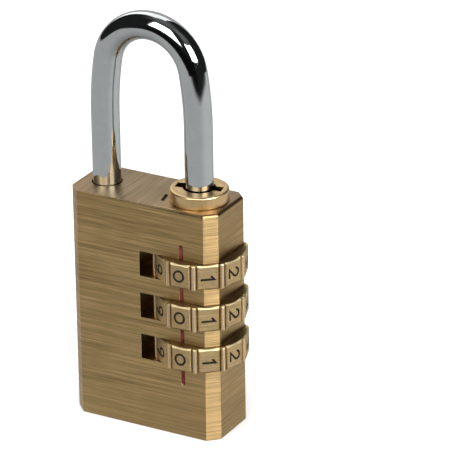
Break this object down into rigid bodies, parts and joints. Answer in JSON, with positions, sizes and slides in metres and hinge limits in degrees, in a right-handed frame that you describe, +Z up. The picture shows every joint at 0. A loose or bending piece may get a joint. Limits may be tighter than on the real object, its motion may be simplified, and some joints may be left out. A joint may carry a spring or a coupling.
{
  "type": "combination padlock",
  "caption": "Small brass block padlock with a chromed steel shackle and ribbed number dials at one end; the long leg lifts out when the dials show the code, and swings round.",
  "frame": {"origin": "centre of the body's flat bottom face", "axes": "+Z up along the shackle's legs, +X towards the dials and the long leg, -Y out of the front face with the index line"},
  "size_m": [0.0324, 0.0168, 0.0786],
  "materials": {
    "brass_body": "satin, brushed along the body's length",
    "brass_bush": "turned and polished",
    "brass_dial": "fine satin with bright edges",
    "brass_sleeve": "turned",
    "chrome_rod": "bright chrome plate on steel",
    "steel": "ground",
    "spring_steel": "oiled",
    "digit_paint": "black enamel in the engraved figures",
    "index_paint": "dark red enamel in the index groove"
  },
  "bodies": {
    "case": {"body": "brass_body", "shackle_bush": "brass_bush", "bottom_plug": "brass_body", "leg_guide_bush": "brass_sleeve", "sleeve_spring": "spring_steel", "detent_plug": "brass_body", "detent_spring_top": "spring_steel", "detent_spring_middle": "spring_steel", "detent_spring_bottom": "spring_steel"},
    "lift_ring": {"retaining_ring": "spring_steel"},
    "shackle_arm": {"shackle": "chrome_rod", "lug_pin_top": "steel", "lug_pin_middle": "steel", "lug_pin_bottom": "steel"},
    "wheel_top": {"dial_top": "brass_dial"},
    "wheel_middle": {"dial_middle": "brass_dial"},
    "wheel_bottom": {"dial_bottom": "brass_dial"},
    "hub_top": {"sleeve_top": "brass_sleeve"},
    "hub_middle": {"sleeve_middle": "brass_sleeve"},
    "hub_bottom": {"sleeve_bottom": "brass_sleeve", "spring_washer": "spring_steel"}
  },
  "joints": [
    {"name": "shackle_lift", "type": "slide", "parent": "case", "child": "lift_ring", "axis": [0, 0, 1], "range_m": [0, 0.0081]},
    {"name": "shackle_swivel", "type": "hinge", "parent": "lift_ring", "child": "shackle_arm", "pos_m": [0.00875, 0, 0.0455], "axis": [0, 0, 1], "continuous": true},
    {"name": "dial_top_turn", "type": "hinge", "parent": "case", "child": "wheel_top", "pos_m": [0.00875, 0, 0.03275], "axis": [0, 0, 1], "continuous": true, "deforming": ["detent_spring_top"]},
    {"name": "dial_middle_turn", "type": "hinge", "parent": "case", "child": "wheel_middle", "pos_m": [0.00875, 0, 0.02455], "axis": [0, 0, 1], "continuous": true, "deforming": ["detent_spring_middle"]},
    {"name": "dial_bottom_turn", "type": "hinge", "parent": "case", "child": "wheel_bottom", "pos_m": [0.00875, 0, 0.01635], "axis": [0, 0, 1], "continuous": true, "deforming": ["detent_spring_bottom"]},
    {"name": "sleeve_bottom_drop", "type": "slide", "parent": "wheel_bottom", "child": "hub_bottom", "axis": [0, 0, -1], "range_m": [0, 0.0012], "stiffness_N_per_m": 300, "springref_m": -0.001, "deforming": ["sleeve_spring"]},
    {"name": "sleeve_middle_drop", "type": "slide", "parent": "wheel_middle", "child": "hub_middle", "axis": [0, 0, -1], "range_m": [0, 0.0012]},
    {"name": "sleeve_top_drop", "type": "slide", "parent": "wheel_top", "child": "hub_top", "axis": [0, 0, -1], "range_m": [0, 0.0012]}
  ],
  "couplings": [
    {"joint": "sleeve_middle_drop", "follows": "sleeve_bottom_drop", "ratio": 1},
    {"joint": "sleeve_top_drop", "follows": "sleeve_bottom_drop", "ratio": 1}
  ]
}
